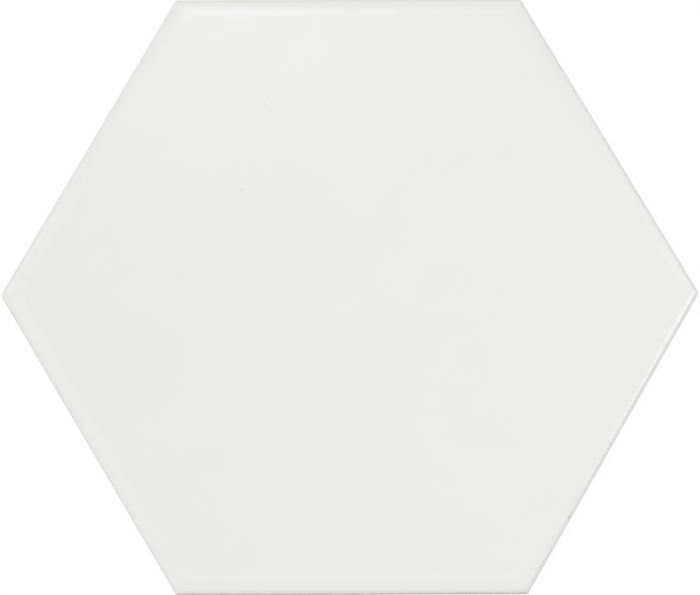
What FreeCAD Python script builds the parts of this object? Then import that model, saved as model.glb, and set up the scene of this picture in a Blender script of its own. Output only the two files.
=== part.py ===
"""Hexagonal floor tile of glazed stoneware, pressed and fired as one piece.

The tile lies face up. Z points up from the plane that its back rests on, the origin is the
centre of that plane, and X runs through two opposite corners. All sizes are in millimetres.
"""

import FreeCAD, Part
import math
import os

# Outline, measured over the upright land, which is the widest part of the side
across_flats = 173.2
tightest_corner_radius = 0.15

# Heights: the land is set down from the face, and the rest of the side lies below it
thickness = 8.0
face_to_land = 3.0
land_height = 2.0

# Side, as the press die leaves it: drafted inwards from the land, both upwards and downwards
upper_draft = 3.0
lower_draft = 6.0
back_bevel_height = 0.9
back_bevel_width = 0.6

# Glazed rim: a round arris, then a low cushion that runs out level with the face
arris_radius = 1.0
cushion_width = 4.5
cushion_drop = 0.32
face_corner_radius = 9.0

# Honeycomb key pressed into the back, to hold in the adhesive
cell_pitch = 16.0
rib_width = 3.0
pocket_depth = 0.8
pocket_draft = 35.0
border_width = 6.5

# Outlines that the cushion is lofted through, and how far a cutter stands out of its cut
cushion_outlines = 5
cutter_overrun = 0.3

SIDES = 6
HALF_SIDE = math.pi / SIDES
ACROSS_CORNER = 1 / math.cos(HALF_SIDE)

land_top = thickness - face_to_land
land_bottom = land_top - land_height

# Insets from the land, and the slope at which the arris meets the cushion
rim_slope = math.atan(2 * cushion_drop / cushion_width)
upper_slope = math.radians(upper_draft)
lower_inset = (land_bottom - back_bevel_height) * math.tan(math.radians(lower_draft))
back_inset = lower_inset + back_bevel_width
rim_height = thickness - cushion_drop
arris_foot = rim_height - arris_radius * (math.cos(rim_slope) - math.sin(upper_slope))
arris_inset = (arris_foot - land_top) * math.tan(upper_slope)
rim_inset = arris_inset + arris_radius * (math.cos(upper_slope) - math.sin(rim_slope))

# The section runs round each corner on a radius that its deepest inset still leaves room for
land_corner_radius = tightest_corner_radius + max(rim_inset, back_inset)
corner_axis_apothem = across_flats / 2 - land_corner_radius

cell_apothem = (cell_pitch - rib_width) / 2


def direction(angle):
    """Level unit vector at that angle from X."""
    return FreeCAD.Vector(math.cos(angle), math.sin(angle), 0)


def hexagon(apothem, z, first_corner=0.0):
    """Corners of a level hexagon round the Z axis, its first corner at that angle from X."""
    return [
        direction(first_corner + 2 * HALF_SIDE * k) * apothem * ACROSS_CORNER
        + FreeCAD.Vector(0, 0, z)
        for k in range(SIDES)
    ]


def rounded_hexagon(apothem, corner_radius, z):
    """Closed wire of six lines and six arcs, with corners on the X axis."""
    arcs = []
    for k, centre in enumerate(hexagon(apothem - corner_radius, z)):
        corner = 2 * HALF_SIDE * k
        arcs.append(
            Part.Arc(*[
                centre + direction(angle) * corner_radius
                for angle in (corner - HALF_SIDE, corner, corner + HALF_SIDE)
            ])
        )
    edges = []
    for arc, following in zip(arcs, arcs[1:] + arcs[:1]):
        edges.append(arc.toShape())
        edges.append(Part.LineSegment(arc.EndPoint, following.StartPoint).toShape())
    return Part.Wire(edges)


def flat_sided_solid(foot, head):
    """Solid between two level hexagons, given by their corners."""
    faces = [Part.Face(Part.makePolygon(ring + ring[:1])) for ring in (foot, head)]
    for k in range(SIDES):
        after = (k + 1) % SIDES
        corners = [foot[k], foot[after], head[after], head[k], foot[k]]
        faces.append(Part.Face(Part.makePolygon(corners)))
    return Part.makeSolid(Part.makeShell(faces))


def side_section():
    """Upright section of the tile's side, out from a corner's axis along the X axis."""

    def at(inset, z):
        return FreeCAD.Vector(land_corner_radius - inset, 0, z)

    middle = (upper_slope + math.pi / 2 - rim_slope) / 2
    arris_centre_inset = arris_inset + arris_radius * math.cos(upper_slope)
    arris_centre_height = arris_foot - arris_radius * math.sin(upper_slope)
    arris_middle = at(
        arris_centre_inset - arris_radius * math.cos(middle),
        arris_centre_height + arris_radius * math.sin(middle),
    )
    arris = Part.Arc(at(arris_inset, arris_foot), arris_middle, at(rim_inset, rim_height))
    up_the_side = [
        at(land_corner_radius, 0),
        at(back_inset, 0),
        at(lower_inset, back_bevel_height),
        at(0, land_bottom),
        at(0, land_top),
        at(arris_inset, arris_foot),
    ]
    back_to_axis = [
        at(rim_inset, rim_height),
        at(land_corner_radius, rim_height),
        at(land_corner_radius, 0),
    ]
    edges = Part.makePolygon(up_the_side).Edges + [arris.toShape()]
    edges += Part.makePolygon(back_to_axis).Edges
    return Part.Face(Part.Wire(edges))


def body_to_rim():
    """The tile up to the rim of its face: the section swept round a plain hexagonal core."""
    core = flat_sided_solid(
        hexagon(corner_axis_apothem, 0), hexagon(corner_axis_apothem, rim_height)
    )
    side_length = 2 * corner_axis_apothem * math.tan(HALF_SIDE)
    swept = []
    for k, axis_foot in enumerate(hexagon(corner_axis_apothem, 0)):
        corner = 2 * HALF_SIDE * k
        section = side_section()
        section.rotate(FreeCAD.Vector(), FreeCAD.Vector(0, 0, 1), math.degrees(corner - HALF_SIDE))
        section.translate(axis_foot)
        turn = math.degrees(2 * HALF_SIDE)
        swept.append(section.revolve(axis_foot, FreeCAD.Vector(0, 0, 1), turn))
        swept.append(section.extrude(direction(corner - HALF_SIDE - math.pi / 2) * side_length))
    return core.fuse(swept).removeSplitter()


def cushion():
    """The low pillow above the rim, lofted along a parabola that ends level with the face.

    Its outlines grow rounder inwards, as the melted glaze draws itself into an even skin."""
    rim_corner_radius = land_corner_radius - rim_inset
    outlines = []
    for k in range(cushion_outlines):
        share = k / (cushion_outlines - 1)
        outlines.append(
            rounded_hexagon(
                across_flats / 2 - rim_inset - cushion_width * share,
                rim_corner_radius + (face_corner_radius - rim_corner_radius) * share,
                rim_height + cushion_drop * share * (2 - share),
            )
        )
    return Part.makeLoft(outlines, True)


def pocket_cutter():
    """One cell of the honeycomb, narrower at its floor so that the punch can draw out."""
    slope = math.tan(math.radians(pocket_draft))
    foot = hexagon(cell_apothem + slope * cutter_overrun, -cutter_overrun, HALF_SIDE)
    head = hexagon(cell_apothem - slope * pocket_depth, pocket_depth, HALF_SIDE)
    return flat_sided_solid(foot, head)


def honeycomb_centres():
    """Centres of the cells that fit inside the border, in whole rings round a bare middle."""
    row_pitch = cell_pitch * math.cos(HALF_SIDE)
    room = across_flats / 2 - back_inset - border_width - cell_apothem * ACROSS_CORNER
    rings = int(room / row_pitch)
    centres = []
    for row in range(-rings, rings + 1):
        for place in range(-rings, rings + 1):
            ring = max(abs(row), abs(place), abs(row + place))
            if 0 < ring <= rings:
                centres.append(
                    FreeCAD.Vector(cell_pitch * (place + row / 2), row_pitch * row, 0)
                )
    return centres


def hexagon_tile():
    pocket = pocket_cutter()
    honeycomb = Part.makeCompound([pocket.translated(at) for at in honeycomb_centres()])
    pressed = body_to_rim().fuse(cushion()).removeSplitter()
    return pressed.cut(honeycomb)


os.makedirs("parts", exist_ok=True)
hexagon_tile().exportStep("parts/hexagon_tile.step")
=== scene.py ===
import math

import bmesh
import bpy
from mathutils import Matrix, Vector, noise


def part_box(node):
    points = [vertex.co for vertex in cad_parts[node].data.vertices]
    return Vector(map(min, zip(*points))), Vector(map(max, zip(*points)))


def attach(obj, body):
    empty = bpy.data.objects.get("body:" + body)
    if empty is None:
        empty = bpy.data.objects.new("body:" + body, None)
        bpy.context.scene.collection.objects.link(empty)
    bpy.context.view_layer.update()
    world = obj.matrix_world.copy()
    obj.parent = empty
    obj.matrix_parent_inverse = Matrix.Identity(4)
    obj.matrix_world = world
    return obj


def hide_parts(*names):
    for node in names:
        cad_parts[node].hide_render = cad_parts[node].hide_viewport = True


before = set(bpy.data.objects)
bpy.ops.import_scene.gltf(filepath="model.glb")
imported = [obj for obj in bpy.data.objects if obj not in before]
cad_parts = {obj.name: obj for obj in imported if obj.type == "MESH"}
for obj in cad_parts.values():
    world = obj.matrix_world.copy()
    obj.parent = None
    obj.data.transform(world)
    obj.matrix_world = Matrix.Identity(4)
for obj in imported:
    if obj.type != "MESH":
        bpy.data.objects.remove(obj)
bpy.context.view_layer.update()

# The key on the back.
# A honeycomb of shallow drafted cells, which the lower punch presses into the clay and the bed
# of adhesive fills. A plain border runs round them, and the middle cell is left bare.

MM = 0.001
SIDES = 6
HALF_SIDE = math.pi / SIDES

cell_pitch = 16.0 * MM
rib_width = 3.0 * MM
pocket_depth = 0.8 * MM
pocket_draft = math.radians(35.0)
pocket_corner = 0.9 * MM
pocket_edge = 0.2 * MM
weld_distance = 0.01 * MM
level_normal = 0.95
RINGS_OF_CELLS = 5

tile = bmesh.new()
row_pitch = cell_pitch * math.cos(HALF_SIDE)
cells = []
for row in range(-RINGS_OF_CELLS, RINGS_OF_CELLS + 1):
    for place in range(-RINGS_OF_CELLS, RINGS_OF_CELLS + 1):
        if abs(row + place) > RINGS_OF_CELLS:
            continue
        centre = Vector((cell_pitch * (place + row / 2), row_pitch * row, 0.0))
        corners = bmesh.ops.create_circle(
            tile, cap_ends=True, segments=SIDES, radius=cell_pitch / 2 / math.cos(HALF_SIDE),
            matrix=Matrix.Translation(centre),
        )["verts"]
        cells.append(corners[0].link_faces[0])
tile.normal_update()
bmesh.ops.reverse_faces(tile, faces=[cell for cell in cells if cell.normal.z > 0])
bmesh.ops.remove_doubles(tile, verts=tile.verts, dist=weld_distance)
bmesh.ops.inset_individual(
    tile, faces=cells, thickness=rib_width / 2, depth=0.0, use_even_offset=True
)
pockets = [cell for cell in cells if cell.calc_center_median().length > cell_pitch / 2]
bmesh.ops.inset_individual(
    tile, faces=pockets, thickness=pocket_depth * math.tan(pocket_draft),
    depth=-pocket_depth, use_even_offset=True,
)


def rises(edge):
    """True for an edge that runs up a pocket's wall."""
    return abs(edge.verts[0].co.z - edge.verts[1].co.z) > pocket_depth / 2


def turns(edge):
    """True for an edge between a pocket's sloping wall and its floor, or the rib beside it."""
    level = [abs(face.normal.z) > level_normal for face in edge.link_faces]
    return len(level) == 2 and level[0] != level[1]


def soften(edges, width):
    """Rounds those edges of the tile over that width on each side."""
    bmesh.ops.bevel(
        tile, geom=edges, offset=width, offset_type="OFFSET", segments=2, profile=0.5,
        affect="EDGES", material=-1,
    )


soften([edge for edge in tile.edges if rises(edge)], pocket_corner)
tile.normal_update()
soften([edge for edge in tile.edges if turns(edge)], pocket_edge)

# The pressed side of the tile.
# Clay powder is pressed face up in a steel die, so the side draws in above and below an upright
# land. Each outline below is one level of that side, and bridging them in turn builds the wall.

highest_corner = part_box("hexagon_tile")[1]
half_across = highest_corner.y
thickness = highest_corner.z

face_to_land = 3.0 * MM
land_height = 2.0 * MM
upper_draft = math.radians(3.0)
lower_draft = math.radians(6.0)
back_bevel_height = 0.9 * MM
back_bevel_width = 0.6 * MM
arris_radius = 1.0 * MM
cushion_width = 4.5 * MM
cushion_drop = 0.32 * MM
tightest_corner_radius = 0.15 * MM
face_corner_radius = 9.0 * MM
soft_edge = 0.12 * MM
land_edge_inset = 0.03 * MM
land_edge_below = 0.3 * MM
land_edge_above = 0.1 * MM

land_top = thickness - face_to_land
land_bottom = land_top - land_height
lower_inset = (land_bottom - back_bevel_height) * math.tan(lower_draft)
back_inset = lower_inset + back_bevel_width
rim_slope = math.atan(2 * cushion_drop / cushion_width)
rim_height = thickness - cushion_drop
arris_foot = rim_height - arris_radius * (math.cos(rim_slope) - math.sin(upper_draft))
arris_inset = (arris_foot - land_top) * math.tan(upper_draft)
rim_inset = arris_inset + arris_radius * (math.cos(upper_draft) - math.sin(rim_slope))
land_corner_radius = tightest_corner_radius + max(rim_inset, back_inset)

CORNER_SEGMENTS = 8
SIDE_CUTS = 59

# How thick the glaze lies at each point, as a share of its thickness on the face
glaze_cover = tile.verts.layers.float.new("glaze_cover")


def outline(inset, height, cover=0.0, corner_radius=None):
    """Edges of one level ring round the tile. Its corners are rounded and its sides divided."""
    if corner_radius is None:
        corner_radius = land_corner_radius - inset
    earlier = set(tile.edges)
    place = Matrix.Translation((0, 0, height)) @ Matrix.Rotation(HALF_SIDE, 4, "Z")
    sharp = bmesh.ops.create_circle(
        tile, segments=SIDES, radius=(half_across - inset) / math.cos(HALF_SIDE), matrix=place
    )
    bmesh.ops.bevel(
        tile, geom=sharp["verts"], offset=corner_radius * math.tan(HALF_SIDE),
        offset_type="OFFSET", segments=CORNER_SEGMENTS, profile=0.5,
        affect="VERTICES", material=-1,
    )
    ring = [edge for edge in tile.edges if edge not in earlier]
    sides = sorted(ring, key=lambda edge: edge.calc_length())[-SIDES:]
    bmesh.ops.subdivide_edges(tile, edges=sides, cuts=SIDE_CUTS)
    ring = [edge for edge in tile.edges if edge not in earlier]
    for vert in {vert for edge in ring for vert in edge.verts}:
        vert[glaze_cover] = cover
    return ring


def build_wall(rings):
    """Bridges each ring to the next and returns the new faces."""
    faces = []
    for lower, upper in zip(rings, rings[1:]):
        faces += bmesh.ops.bridge_loops(tile, edges=lower + upper)["faces"]
    return faces


def draft_inset(height):
    """How far the upper side has drawn in from the land at that height."""
    return (height - land_top) * math.tan(upper_draft)


# From the back up: the two worn edges of the bevel, then the softened edges of the land
bare_rings = [
    outline(back_inset + soft_edge, 0.0),
    outline(back_inset, 0.3 * soft_edge),
    outline(back_inset - 0.5 * soft_edge, soft_edge),
    outline(lower_inset + 0.5 * soft_edge, back_bevel_height - soft_edge),
    outline(lower_inset, back_bevel_height + 0.3 * soft_edge),
    outline(lower_inset - 0.1 * soft_edge, back_bevel_height + soft_edge),
    outline(land_edge_inset, land_bottom - land_edge_below),
    outline(0.0, land_bottom + land_edge_above),
    outline(0.0, land_top - land_edge_above),
]

# The bare fired clay.
# A pale stoneware body, dense and dull. It shows the grain of the pressed powder, small pores
# darkened with painted shade, grains of iron, white kiln wash on the ribs of the back and glaze
# dust just below the lip.

pale_clay = (0.638, 0.626, 0.600, 1)
darker_clay = (0.598, 0.581, 0.551, 1)
powder_shade = (0.43, 0.41, 0.37, 1)
streak_shade = (0.40, 0.38, 0.35, 1)
pore_painted_shade = (0.30, 0.28, 0.25, 1)
iron_brown = (0.20, 0.14, 0.09, 1)
kiln_wash_white = (0.74, 0.735, 0.715, 1)
glaze_dust_white = (0.76, 0.762, 0.745, 1)


def add(tree, kind, inputs, **options):
    """Adds a node. Each input is a plain value or the output socket that feeds it."""
    made = tree.nodes.new(kind)
    for option, value in options.items():
        setattr(made, option, value)
    for label, value in inputs.items():
        if isinstance(value, bpy.types.NodeSocket):
            tree.links.new(value, made.inputs[label])
        else:
            made.inputs[label].default_value = value
    return made


def new_group(name, inputs, outputs):
    """An empty shader group and its two ends. Each socket is (label, kind, first value)."""
    group = bpy.data.node_groups.new(name, "ShaderNodeTree")
    for end, sockets in (("INPUT", inputs), ("OUTPUT", outputs)):
        for label, kind, value in sockets:
            socket = group.interface.new_socket(
                label, in_out=end, socket_type="NodeSocket" + kind
            )
            if value is not None:
                socket.default_value = value
    enters = add(group, "NodeGroupInput", {}).outputs
    leaves = add(group, "NodeGroupOutput", {}).inputs
    return group, enters, leaves


def use_group(tree, group, inputs):
    """Adds a group node and gives its output sockets."""
    return add(tree, "ShaderNodeGroup", inputs, node_tree=group).outputs


def maths(tree, operation, first, second=0.0):
    """Output of one sum of two numbers or sockets."""
    return add(tree, "ShaderNodeMath", {0: first, 1: second}, operation=operation).outputs[0]


def ramp(tree, value, start, end, low=0.0, high=1.0):
    """Output that goes smoothly from low to high while the value goes from start to end."""
    return add(
        tree, "ShaderNodeMapRange",
        {"Value": value, "From Min": start, "From Max": end, "To Min": low, "To Max": high},
        interpolation_type="SMOOTHSTEP",
    ).outputs["Result"]


def blend(tree, share, under, over):
    """Colour between two colours or sockets."""
    return add(tree, "ShaderNodeMix", {0: share, 6: under, 7: over}, data_type="RGBA").outputs[2]


def tint(tree, colour, mask, strength, over):
    """The colour, with another laid over it at that strength where the mask is 1."""
    return blend(tree, maths(tree, "MULTIPLY", mask, strength), colour, over)


def raised(tree, relief, mask, height):
    """The relief, raised by that height where the mask is 1. A negative height sinks it."""
    return maths(tree, "ADD", relief, maths(tree, "MULTIPLY", mask, height))


def new_material(name):
    """An empty material and its node tree."""
    material = bpy.data.materials.new(name)
    material.use_nodes = True
    material.node_tree.nodes.clear()
    return material, material.node_tree


def finish_material(tree, relief, inputs):
    """Gives a material its shader, with that relief and those other inputs."""
    normal = add(tree, "ShaderNodeBump", {"Height": relief, "Distance": 1.0}).outputs["Normal"]
    shader = add(tree, "ShaderNodeBsdfPrincipled", {**inputs, "Normal": normal}).outputs[0]
    add(tree, "ShaderNodeOutputMaterial", {"Surface": shader})


# Uneven surface: soft hills of that size, as a height in metres and as a mask
uneven_surface, enters, leaves = new_group(
    "uneven_surface",
    [("Vector", "Vector", None), ("Size", "Float", 10 * MM), ("Height", "Float", 0.1 * MM)],
    [("Height", "Float", None), ("Mask", "Float", None)],
)
hills = add(
    uneven_surface, "ShaderNodeTexNoise",
    {
        "Vector": enters["Vector"], "Detail": 2.5, "Roughness": 0.5,
        "Scale": maths(uneven_surface, "DIVIDE", 1.0, enters["Size"]),
    },
).outputs[0]
level = maths(uneven_surface, "SUBTRACT", hills, 0.5)
height = maths(uneven_surface, "MULTIPLY", level, enters["Height"])
uneven_surface.links.new(height, leaves["Height"])
uneven_surface.links.new(ramp(uneven_surface, hills, 0.36, 0.64), leaves["Mask"])

# Scattered spots: round spots up to that radius, in a share of cells with that spacing
scattered_spots, enters, leaves = new_group(
    "scattered_spots",
    [
        ("Vector", "Vector", None), ("Spacing", "Float", 2 * MM),
        ("Radius", "Float", 0.2 * MM), ("Share", "Float", 0.5),
    ],
    [("Mask", "Float", None)],
)
lots = add(
    scattered_spots, "ShaderNodeTexVoronoi",
    {
        "Vector": enters["Vector"],
        "Scale": maths(scattered_spots, "DIVIDE", 1.0, enters["Spacing"]),
    },
)
lot_numbers = add(
    scattered_spots, "ShaderNodeSeparateColor", {"Color": lots.outputs["Color"]}
).outputs
away = maths(scattered_spots, "MULTIPLY", lots.outputs["Distance"], enters["Spacing"])
own_size = ramp(scattered_spots, lot_numbers["Green"], 0.0, 1.0, 0.45, 1.0)
spot_radius = maths(scattered_spots, "MULTIPLY", enters["Radius"], own_size)
full_radius = maths(scattered_spots, "MULTIPLY", spot_radius, 0.5)
spot = ramp(scattered_spots, away, spot_radius, full_radius)
chosen = maths(scattered_spots, "LESS_THAN", lot_numbers["Red"], enters["Share"])
scattered_spots.links.new(maths(scattered_spots, "MULTIPLY", spot, chosen), leaves["Mask"])

clay, body = new_material("bare_fired_clay")
on_tile = add(body, "ShaderNodeTexCoord", {}).outputs["Object"]
height_on_tile = add(body, "ShaderNodeSeparateXYZ", {"Vector": on_tile}).outputs["Z"]

body_tone = use_group(body, uneven_surface, {"Vector": on_tile, "Size": 16 * MM})["Mask"]
powder = use_group(
    body, uneven_surface, {"Vector": on_tile, "Size": 0.5 * MM, "Height": 0.06 * MM}
)
pores = use_group(
    body, scattered_spots,
    {"Vector": on_tile, "Spacing": 1.1 * MM, "Radius": 0.16 * MM, "Share": 0.6},
)["Mask"]
iron = use_group(
    body, scattered_spots,
    {"Vector": on_tile, "Spacing": 2.6 * MM, "Radius": 0.24 * MM, "Share": 0.3},
)["Mask"]
# The tile rubs along the die as it is pushed out, which draws upright streaks down its side
drawn = add(body, "ShaderNodeMapping", {"Vector": on_tile, "Scale": (1.0, 1.0, 0.08)}).outputs[0]
streaks = use_group(
    body, uneven_surface, {"Vector": drawn, "Size": 0.9 * MM, "Height": 0.02 * MM}
)
# Kiln wash is rolled onto the ribs, and the kiln's rollers rub it off in bands along X
rolled = add(body, "ShaderNodeMapping", {"Vector": on_tile, "Scale": (0.07, 1.0, 1.0)}).outputs[0]
roller_bands = use_group(body, uneven_surface, {"Vector": rolled, "Size": 4.5 * MM})["Mask"]
patches = use_group(body, uneven_surface, {"Vector": on_tile, "Size": 7 * MM})["Mask"]
on_ribs = ramp(body, height_on_tile, 0.22 * MM, 0.04 * MM)
left_on = maths(body, "MULTIPLY", roller_bands, patches)
wash = maths(body, "MULTIPLY", on_ribs, ramp(body, left_on, 0.05, 0.7, 0.12, 0.85))
# Fine drops of glaze land on the clay just below the lip
drops = use_group(
    body, scattered_spots,
    {"Vector": on_tile, "Spacing": 0.7 * MM, "Radius": 0.26 * MM, "Share": 0.5},
)["Mask"]
below_lip = ramp(body, height_on_tile, 4.2 * MM, 6.2 * MM)
strewn = ramp(body, maths(body, "ADD", drops, patches), 0.3, 1.3, 0.15, 0.9)
dust = maths(body, "MULTIPLY", below_lip, strewn)

colour = blend(body, body_tone, pale_clay, darker_clay)
colour = tint(body, colour, powder["Mask"], 0.22, powder_shade)
colour = tint(body, colour, streaks["Mask"], 0.16, streak_shade)
# Painted shade: the small hollows of the pores are coloured darker, as if shade lay in them
colour = tint(body, colour, pores, 0.55, pore_painted_shade)
colour = tint(body, colour, iron, 0.75, iron_brown)
colour = blend(body, wash, colour, kiln_wash_white)
colour = blend(body, dust, colour, glaze_dust_white)
relief = maths(body, "ADD", powder["Height"], streaks["Height"])
relief = raised(body, relief, pores, -0.05 * MM)
dull = ramp(body, dust, 0.0, 1.0, 0.88, 0.5)
finish_material(
    body, relief, {"Base Color": colour, "Roughness": dull, "Specular IOR Level": 0.35}
)

# The glaze.
# A white opaque glaze is poured over the face and runs down the side, where it stops in an uneven
# lip. In the kiln it melts onto the clay, thins over the arris and draws up into a cushion.

lip_height = 5.66 * MM
lip_thickness = 0.012 * MM
lip_foot = 0.05 * MM
lip_crest = 0.16 * MM
lip_run_out = 0.5 * MM
lip_wander = 0.30 * MM
wander_length = 22 * MM
run_length = 6 * MM
run_share = 0.45
ARRIS_STEPS = 9
CUSHION_STEPS = 12

# The glaze's thickness at each place, as a share of that on the face
side_cover = 0.9
foot_cover = 1.25
crest_cover = 1.2
rim_cover = 0.75
arris_thinning = 0.4
band_cover = 0.93

white_at_right = (0.805, 0.808, 0.785, 1)
white_at_left = (0.806, 0.805, 0.786, 1)
mottle_shade = (0.74, 0.74, 0.71, 1)
thin_glaze_grey = (0.70, 0.690, 0.675, 1)
pooled_glaze_green = (0.72, 0.74, 0.72, 1)
thick_glaze_white = (0.88, 0.88, 0.86, 1)
bubble_rim_white = (0.87, 0.87, 0.86, 1)
bubble_floor_shade = (0.5, 0.5, 0.48, 1)
pinhole_brown = (0.36, 0.33, 0.28, 1)
chip_grey = (0.40, 0.38, 0.35, 1)

lip_ring = outline(draft_inset(lip_height), lip_height, side_cover)
glaze_rings = [
    lip_ring,
    outline(draft_inset(lip_height) - 0.8 * lip_thickness, lip_height + lip_foot, foot_cover),
    outline(draft_inset(lip_height) - lip_thickness, lip_height + lip_crest, crest_cover),
    outline(draft_inset(lip_height + lip_run_out), lip_height + lip_run_out, side_cover),
]
lip_rings = list(glaze_rings)
for step in range(ARRIS_STEPS + 1):
    tilt = upper_draft + (math.pi / 2 - rim_slope - upper_draft) * step / ARRIS_STEPS
    glaze_rings.append(
        outline(
            arris_inset + arris_radius * (math.cos(upper_draft) - math.cos(tilt)),
            arris_foot + arris_radius * (math.sin(tilt) - math.sin(upper_draft)),
            rim_cover - arris_thinning * math.sin(math.pi * step / ARRIS_STEPS),
        )
    )
rim_corner_radius = land_corner_radius - rim_inset
for step in range(1, CUSHION_STEPS + 1):
    share = step / CUSHION_STEPS
    glaze_rings.append(
        outline(
            rim_inset + cushion_width * share,
            rim_height + cushion_drop * share * (2 - share),
            rim_cover + (1 - rim_cover) * share,
            rim_corner_radius + (face_corner_radius - rim_corner_radius) * share,
        )
    )

build_wall(bare_rings + [lip_ring])
glazed_faces = build_wall(glaze_rings)
glazed_faces += bmesh.ops.contextual_create(tile, geom=glaze_rings[-1])["faces"]
for face in glazed_faces:
    face.material_index = 1

# The lip wanders up and down, with a few short runs
for vert in {vert for ring in lip_rings for edge in ring for vert in edge.verts}:
    outwards = Vector((vert.co.x, vert.co.y, 0.0))
    slow = noise.noise(outwards / wander_length)
    quick = noise.noise((outwards + Vector((0.0, 0.0, 9.0 * MM))) / run_length)
    rise = lip_wander * (slow + run_share * quick)
    vert.co.z += rise
    vert.co -= outwards.normalized() * rise * math.tan(upper_draft)

# A small chip is knocked out of the arris, near the corner at the near right. The mesh is made
# finer round it first.
chip = Vector((62.0, -65.4, 7.3)) * MM
chip_radius = 0.8 * MM
chip_depth = 0.2 * MM
fine_mesh_width = 5 * MM
CHIP_CUTS = 9
into_tile = Vector((-math.cos(HALF_SIDE), math.sin(HALF_SIDE), -1.0)).normalized()
around_chip = [
    edge for ring in glaze_rings for edge in ring
    if (edge.verts[0].co - chip).length + (edge.verts[1].co - chip).length < fine_mesh_width
]
bmesh.ops.subdivide_edges(tile, edges=around_chip, cuts=CHIP_CUTS, use_grid_fill=True)
for vert in tile.verts:
    share = max(0.0, 1 - (vert.co - chip).length / chip_radius)
    vert.co += into_tile * chip_depth * share * share * (3 - 2 * share)

# Round mark: one disc and its ring, at that place on the tile
round_mark, enters, leaves = new_group(
    "round_mark",
    [("Vector", "Vector", None), ("Place", "Vector", None), ("Radius", "Float", 1 * MM)],
    [("Disc", "Float", None), ("Ring", "Float", None)],
)
away = add(
    round_mark, "ShaderNodeVectorMath", {0: enters["Vector"], 1: enters["Place"]},
    operation="DISTANCE",
).outputs["Value"]
away = maths(round_mark, "DIVIDE", away, enters["Radius"])
from_ring = maths(round_mark, "ABSOLUTE", maths(round_mark, "SUBTRACT", away, 1.0))
round_mark.links.new(ramp(round_mark, away, 1.0, 0.55), leaves["Disc"])
round_mark.links.new(ramp(round_mark, from_ring, 0.4, 0.0), leaves["Ring"])

glaze, skin = new_material("white_glaze")
on_tile = add(skin, "ShaderNodeTexCoord", {}).outputs["Object"]
cover = add(skin, "ShaderNodeAttribute", {}, attribute_name="glaze_cover").outputs["Fac"]
melted_hills = use_group(
    skin, uneven_surface, {"Vector": on_tile, "Size": 40 * MM, "Height": 0.22 * MM}
)
orange_peel = use_group(
    skin, uneven_surface, {"Vector": on_tile, "Size": 2.6 * MM, "Height": 0.012 * MM}
)
mottle = use_group(skin, uneven_surface, {"Vector": on_tile, "Size": 13 * MM})["Mask"]
pinholes = use_group(
    skin, scattered_spots,
    {"Vector": on_tile, "Spacing": 8.5 * MM, "Radius": 0.17 * MM, "Share": 0.25},
)["Mask"]
speck = Vector((-31.2 * MM, 30.0 * MM, thickness))
dark_speck = use_group(
    skin, round_mark, {"Vector": on_tile, "Place": speck, "Radius": 0.34 * MM}
)["Disc"]
bubble = Vector((-24.9 * MM, 55.5 * MM, thickness))
burst_bubble = use_group(
    skin, round_mark, {"Vector": on_tile, "Place": bubble, "Radius": 1.6 * MM}
)
chipped = use_group(
    skin, round_mark, {"Vector": on_tile, "Place": chip, "Radius": 0.9 * chip_radius}
)["Disc"]

# The glaze is grey where it is thin, greenish where it pools in the lip, and white in the
# slightly thicker band where the cushion ends
thin = ramp(skin, cover, side_cover, rim_cover - arris_thinning)
pooled = ramp(skin, cover, 1.0, foot_cover)
from_band = maths(skin, "ABSOLUTE", maths(skin, "SUBTRACT", cover, band_cover))
thick_band = ramp(skin, from_band, 1 - band_cover, 0.0)
# The pour leaves the left half of the tile a shade warmer than the right
from_middle = add(skin, "ShaderNodeSeparateXYZ", {"Vector": on_tile}).outputs["X"]
warmer = ramp(skin, from_middle, 20 * MM, -60 * MM)
# The rim of the burst bubble shows only in places
grain_of_rim = use_group(skin, uneven_surface, {"Vector": on_tile, "Size": 2.2 * MM})["Mask"]
broken_rim = maths(skin, "MULTIPLY", burst_bubble["Ring"], grain_of_rim)
holes = maths(skin, "MULTIPLY", maths(skin, "MAXIMUM", dark_speck, pinholes), 0.45)

colour = blend(skin, warmer, white_at_right, white_at_left)
colour = tint(skin, colour, mottle, 0.08, mottle_shade)
colour = tint(skin, colour, thin, 0.3, thin_glaze_grey)
colour = tint(skin, colour, pooled, 0.4, pooled_glaze_green)
colour = tint(skin, colour, thick_band, 0.08, thick_glaze_white)
colour = tint(skin, colour, broken_rim, 0.5, bubble_rim_white)
colour = tint(skin, colour, burst_bubble["Disc"], 0.04, bubble_floor_shade)
colour = blend(skin, holes, colour, pinhole_brown)
colour = tint(skin, colour, chipped, 0.45, chip_grey)
relief = maths(skin, "ADD", melted_hills["Height"], orange_peel["Height"])
relief = raised(skin, relief, burst_bubble["Ring"], 0.005 * MM)
relief = raised(skin, relief, pooled, 0.05 * MM)
relief = raised(skin, relief, holes, -0.06 * MM)
gloss = ramp(skin, mottle, 0.0, 1.0, 0.115, 0.145)
finish_material(skin, relief, {"Base Color": colour, "Roughness": gloss})

# The finished tile.
# Fired in one piece, the key, the side and the glaze are one closed skin. Its glazed faces carry
# the glaze and all the others the bare clay. It lies face up, on its ribs.


def finished_piece(modelled, name):
    """Makes an object of a bmesh, which is already in its place."""
    mesh = bpy.data.meshes.new(name)
    modelled.to_mesh(mesh)
    modelled.free()
    piece = bpy.data.objects.new(name, mesh)
    bpy.context.scene.collection.objects.link(piece)
    return piece


bmesh.ops.triangle_fill(
    tile, use_beauty=True, edges=[edge for edge in tile.edges if edge.is_boundary],
    normal=(0, 0, -1),
)
for face in tile.faces:
    face.smooth = True
bmesh.ops.recalc_face_normals(tile, faces=tile.faces)

glazed_tile = finished_piece(tile, "glazed_hexagon_tile")
glazed_tile.data.materials.append(clay)
glazed_tile.data.materials.append(glaze)
glazed_tile.modifiers.new("even_normals", "WEIGHTED_NORMAL")
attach(glazed_tile, "root")
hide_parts("hexagon_tile")

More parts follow.
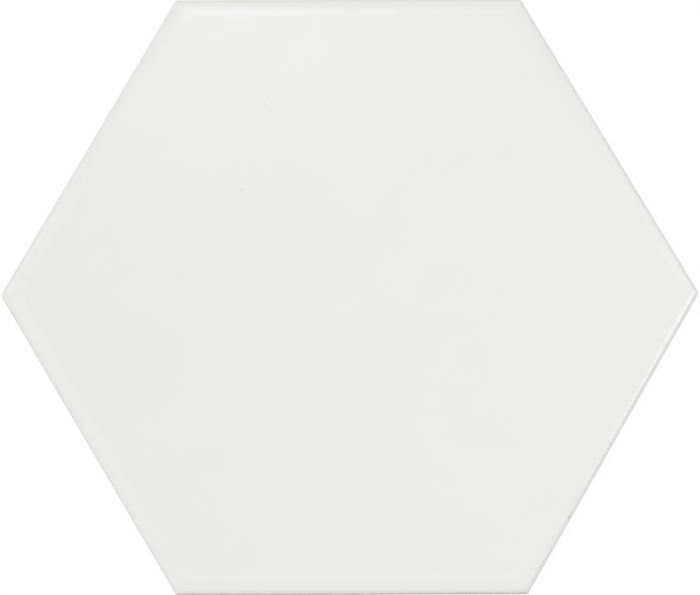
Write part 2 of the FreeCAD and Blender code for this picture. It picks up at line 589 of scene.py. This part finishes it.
# The floor.
# Plain white paper under the tile. Seen from above or in a reflection it is white and takes a
# faint shadow. From below it isn't seen, and it lets the tile's back have the light of the room.

paper_half_width = 3.0
gap_under_tile = 0.05 * MM
see_through_height = 2.0 * MM
paper_white = (0.8, 0.8, 0.8, 1)
shadow_catching_grey = (0.09, 0.09, 0.09, 1)
paper_glow = 0.92


def either(tree, first, second):
    """1 where either of two yes-or-no values is 1."""
    return maths(tree, "MAXIMUM", first, second)


def seen_by_eye(tree, ray):
    """1 for a ray from the camera, straight or by way of a reflection or through glass."""
    seen = either(tree, ray["Is Camera Ray"], ray["Is Glossy Ray"])
    return either(tree, seen, ray["Is Transmission Ray"])


flat_sheet = bmesh.new()
bmesh.ops.create_grid(
    flat_sheet, x_segments=1, y_segments=1, size=paper_half_width,
    matrix=Matrix.Translation((0, 0, -gap_under_tile)),
)
floor = finished_piece(flat_sheet, "floor")

paper, sheet = new_material("white_paper")
ray = add(sheet, "ShaderNodeLightPath", {}).outputs
lit = add(sheet, "ShaderNodeBsdfDiffuse", {"Color": paper_white}).outputs[0]
faintly_shaded = add(sheet, "ShaderNodeBsdfDiffuse", {"Color": shadow_catching_grey}).outputs[0]
glowing = add(sheet, "ShaderNodeEmission", {"Strength": paper_glow}).outputs[0]
seen_paper = add(sheet, "ShaderNodeAddShader", {0: faintly_shaded, 1: glowing}).outputs[0]
paper_surface = add(
    sheet, "ShaderNodeMixShader", {0: seen_by_eye(sheet, ray), 1: lit, 2: seen_paper}
).outputs[0]
clear = add(sheet, "ShaderNodeBsdfTransparent", {}).outputs[0]
behind = add(sheet, "ShaderNodeNewGeometry", {}).outputs["Backfacing"]
close = maths(sheet, "LESS_THAN", ray["Ray Length"], see_through_height)
paper_or_clear = add(
    sheet, "ShaderNodeMixShader", {0: either(sheet, behind, close), 1: paper_surface, 2: clear}
).outputs[0]
add(sheet, "ShaderNodeOutputMaterial", {"Surface": paper_or_clear})
floor.data.materials.append(paper)

# The studio light.
# A white room with weak soft lamps. The high ones even out the face and the cushion, and two of
# them lay a cool glow on the far part. The three lower ones draw the bright lines along the rim.


def softbox(name, place, size, radiance, aim=None, colour=(1.0, 1.0, 1.0)):
    """A rectangular lamp, equally bright all over. Without an aim it faces straight down."""
    lamp = bpy.data.lights.new(name, "AREA")
    lamp.color = colour
    lamp.shape = "RECTANGLE"
    lamp.size, lamp.size_y = size
    lamp.energy = radiance * math.pi * size[0] * size[1]
    beam = Vector(aim) - Vector(place) if aim else Vector((0.0, 0.0, -1.0))
    holder = bpy.data.objects.new(name, lamp)
    holder.location = place
    holder.rotation_euler = beam.to_track_quat("-Z", "Y").to_euler()
    bpy.context.scene.collection.objects.link(holder)


tile_middle = (0.0, 0.0, 0.0)
right_of_middle = (0.09, 0.0, 0.0)
left_of_middle = (-0.09, 0.0, 0.0)

softbox("overhead_softbox", (0.28, 0.15, 1.70), (0.56, 0.50), 0.21)
softbox("overhead_diffuser", (0.245, 0.20, 1.72), (0.75, 0.64), 0.25)
softbox("left_diffuser", (-0.43, 0.315, 1.70), (0.38, 0.49), 0.3)
softbox("far_softbox", (-0.030, 0.685, 1.70), (0.12, 0.28), 1.6, tile_middle, (0.85, 0.87, 1.0))
softbox("far_diffuser", (-0.030, 0.665, 1.72), (0.20, 0.42), 1.5, tile_middle, (0.82, 0.85, 1.0))
softbox("far_right_diffuser", (0.11, 0.74, 1.70), (0.26, 0.20), 0.55)
softbox("far_left_diffuser", (-0.245, 0.59, 1.70), (0.22, 0.18), 0.72)
softbox("right_softbox", (0.69, 0.15, 1.10), (0.31, 0.54), 4.2, right_of_middle)
softbox("right_diffuser", (0.39, 0.305, 1.04), (0.20, 0.16), 1.4, right_of_middle)
softbox("left_softbox", (-0.375, 0.34, 1.00), (0.08, 0.08), 2.6, left_of_middle)

# The room is brightest at the near left, and dim beyond the far edge of the tile
room_brightness = 0.919
dimmer_at_right = 0.32
dimmer_beyond_far_edge = 0.19
dimmer_at_both_ends = 0.30

studio = bpy.data.worlds.new("studio")
bpy.context.scene.world = studio
studio.use_nodes = True
room = studio.node_tree
background = room.nodes["Background"]
background.inputs["Color"].default_value = (1, 1, 1, 1)
ray = add(room, "ShaderNodeLightPath", {}).outputs
direction = add(room, "ShaderNodeTexCoord", {}).outputs["Generated"]
towards = add(room, "ShaderNodeSeparateXYZ", {"Vector": direction}).outputs
right_dimming = maths(room, "MULTIPLY", towards["X"], dimmer_at_right)
end_dimming = maths(room, "MULTIPLY", towards["Y"], dimmer_at_both_ends)
end_dimming = maths(room, "ADD", end_dimming, dimmer_beyond_far_edge)
end_dimming = maths(room, "MULTIPLY", towards["Y"], end_dimming)
room_light = maths(room, "SUBTRACT", room_brightness, right_dimming)
room_light = maths(room, "SUBTRACT", room_light, end_dimming)
light_or_white = add(room, "ShaderNodeMix", {0: seen_by_eye(room, ray), 2: room_light, 3: 1.0})
room.links.new(light_or_white.outputs[0], background.inputs["Strength"])

# The camera.
# It looks almost straight down through a long lens, tilted a little so that the near side shows.

eye = bpy.data.cameras.new("camera")
eye.lens = 300.0
eye.sensor_width = 36.0
camera = bpy.data.objects.new("camera", eye)
camera.location = (-37.0 * MM, -324.8 * MM, 1646.7 * MM)
camera.rotation_euler = (0.1949, -0.0211, -0.0069)
bpy.context.scene.collection.objects.link(camera)
bpy.context.scene.camera = camera
bpy.context.scene.view_settings.view_transform = "Standard"
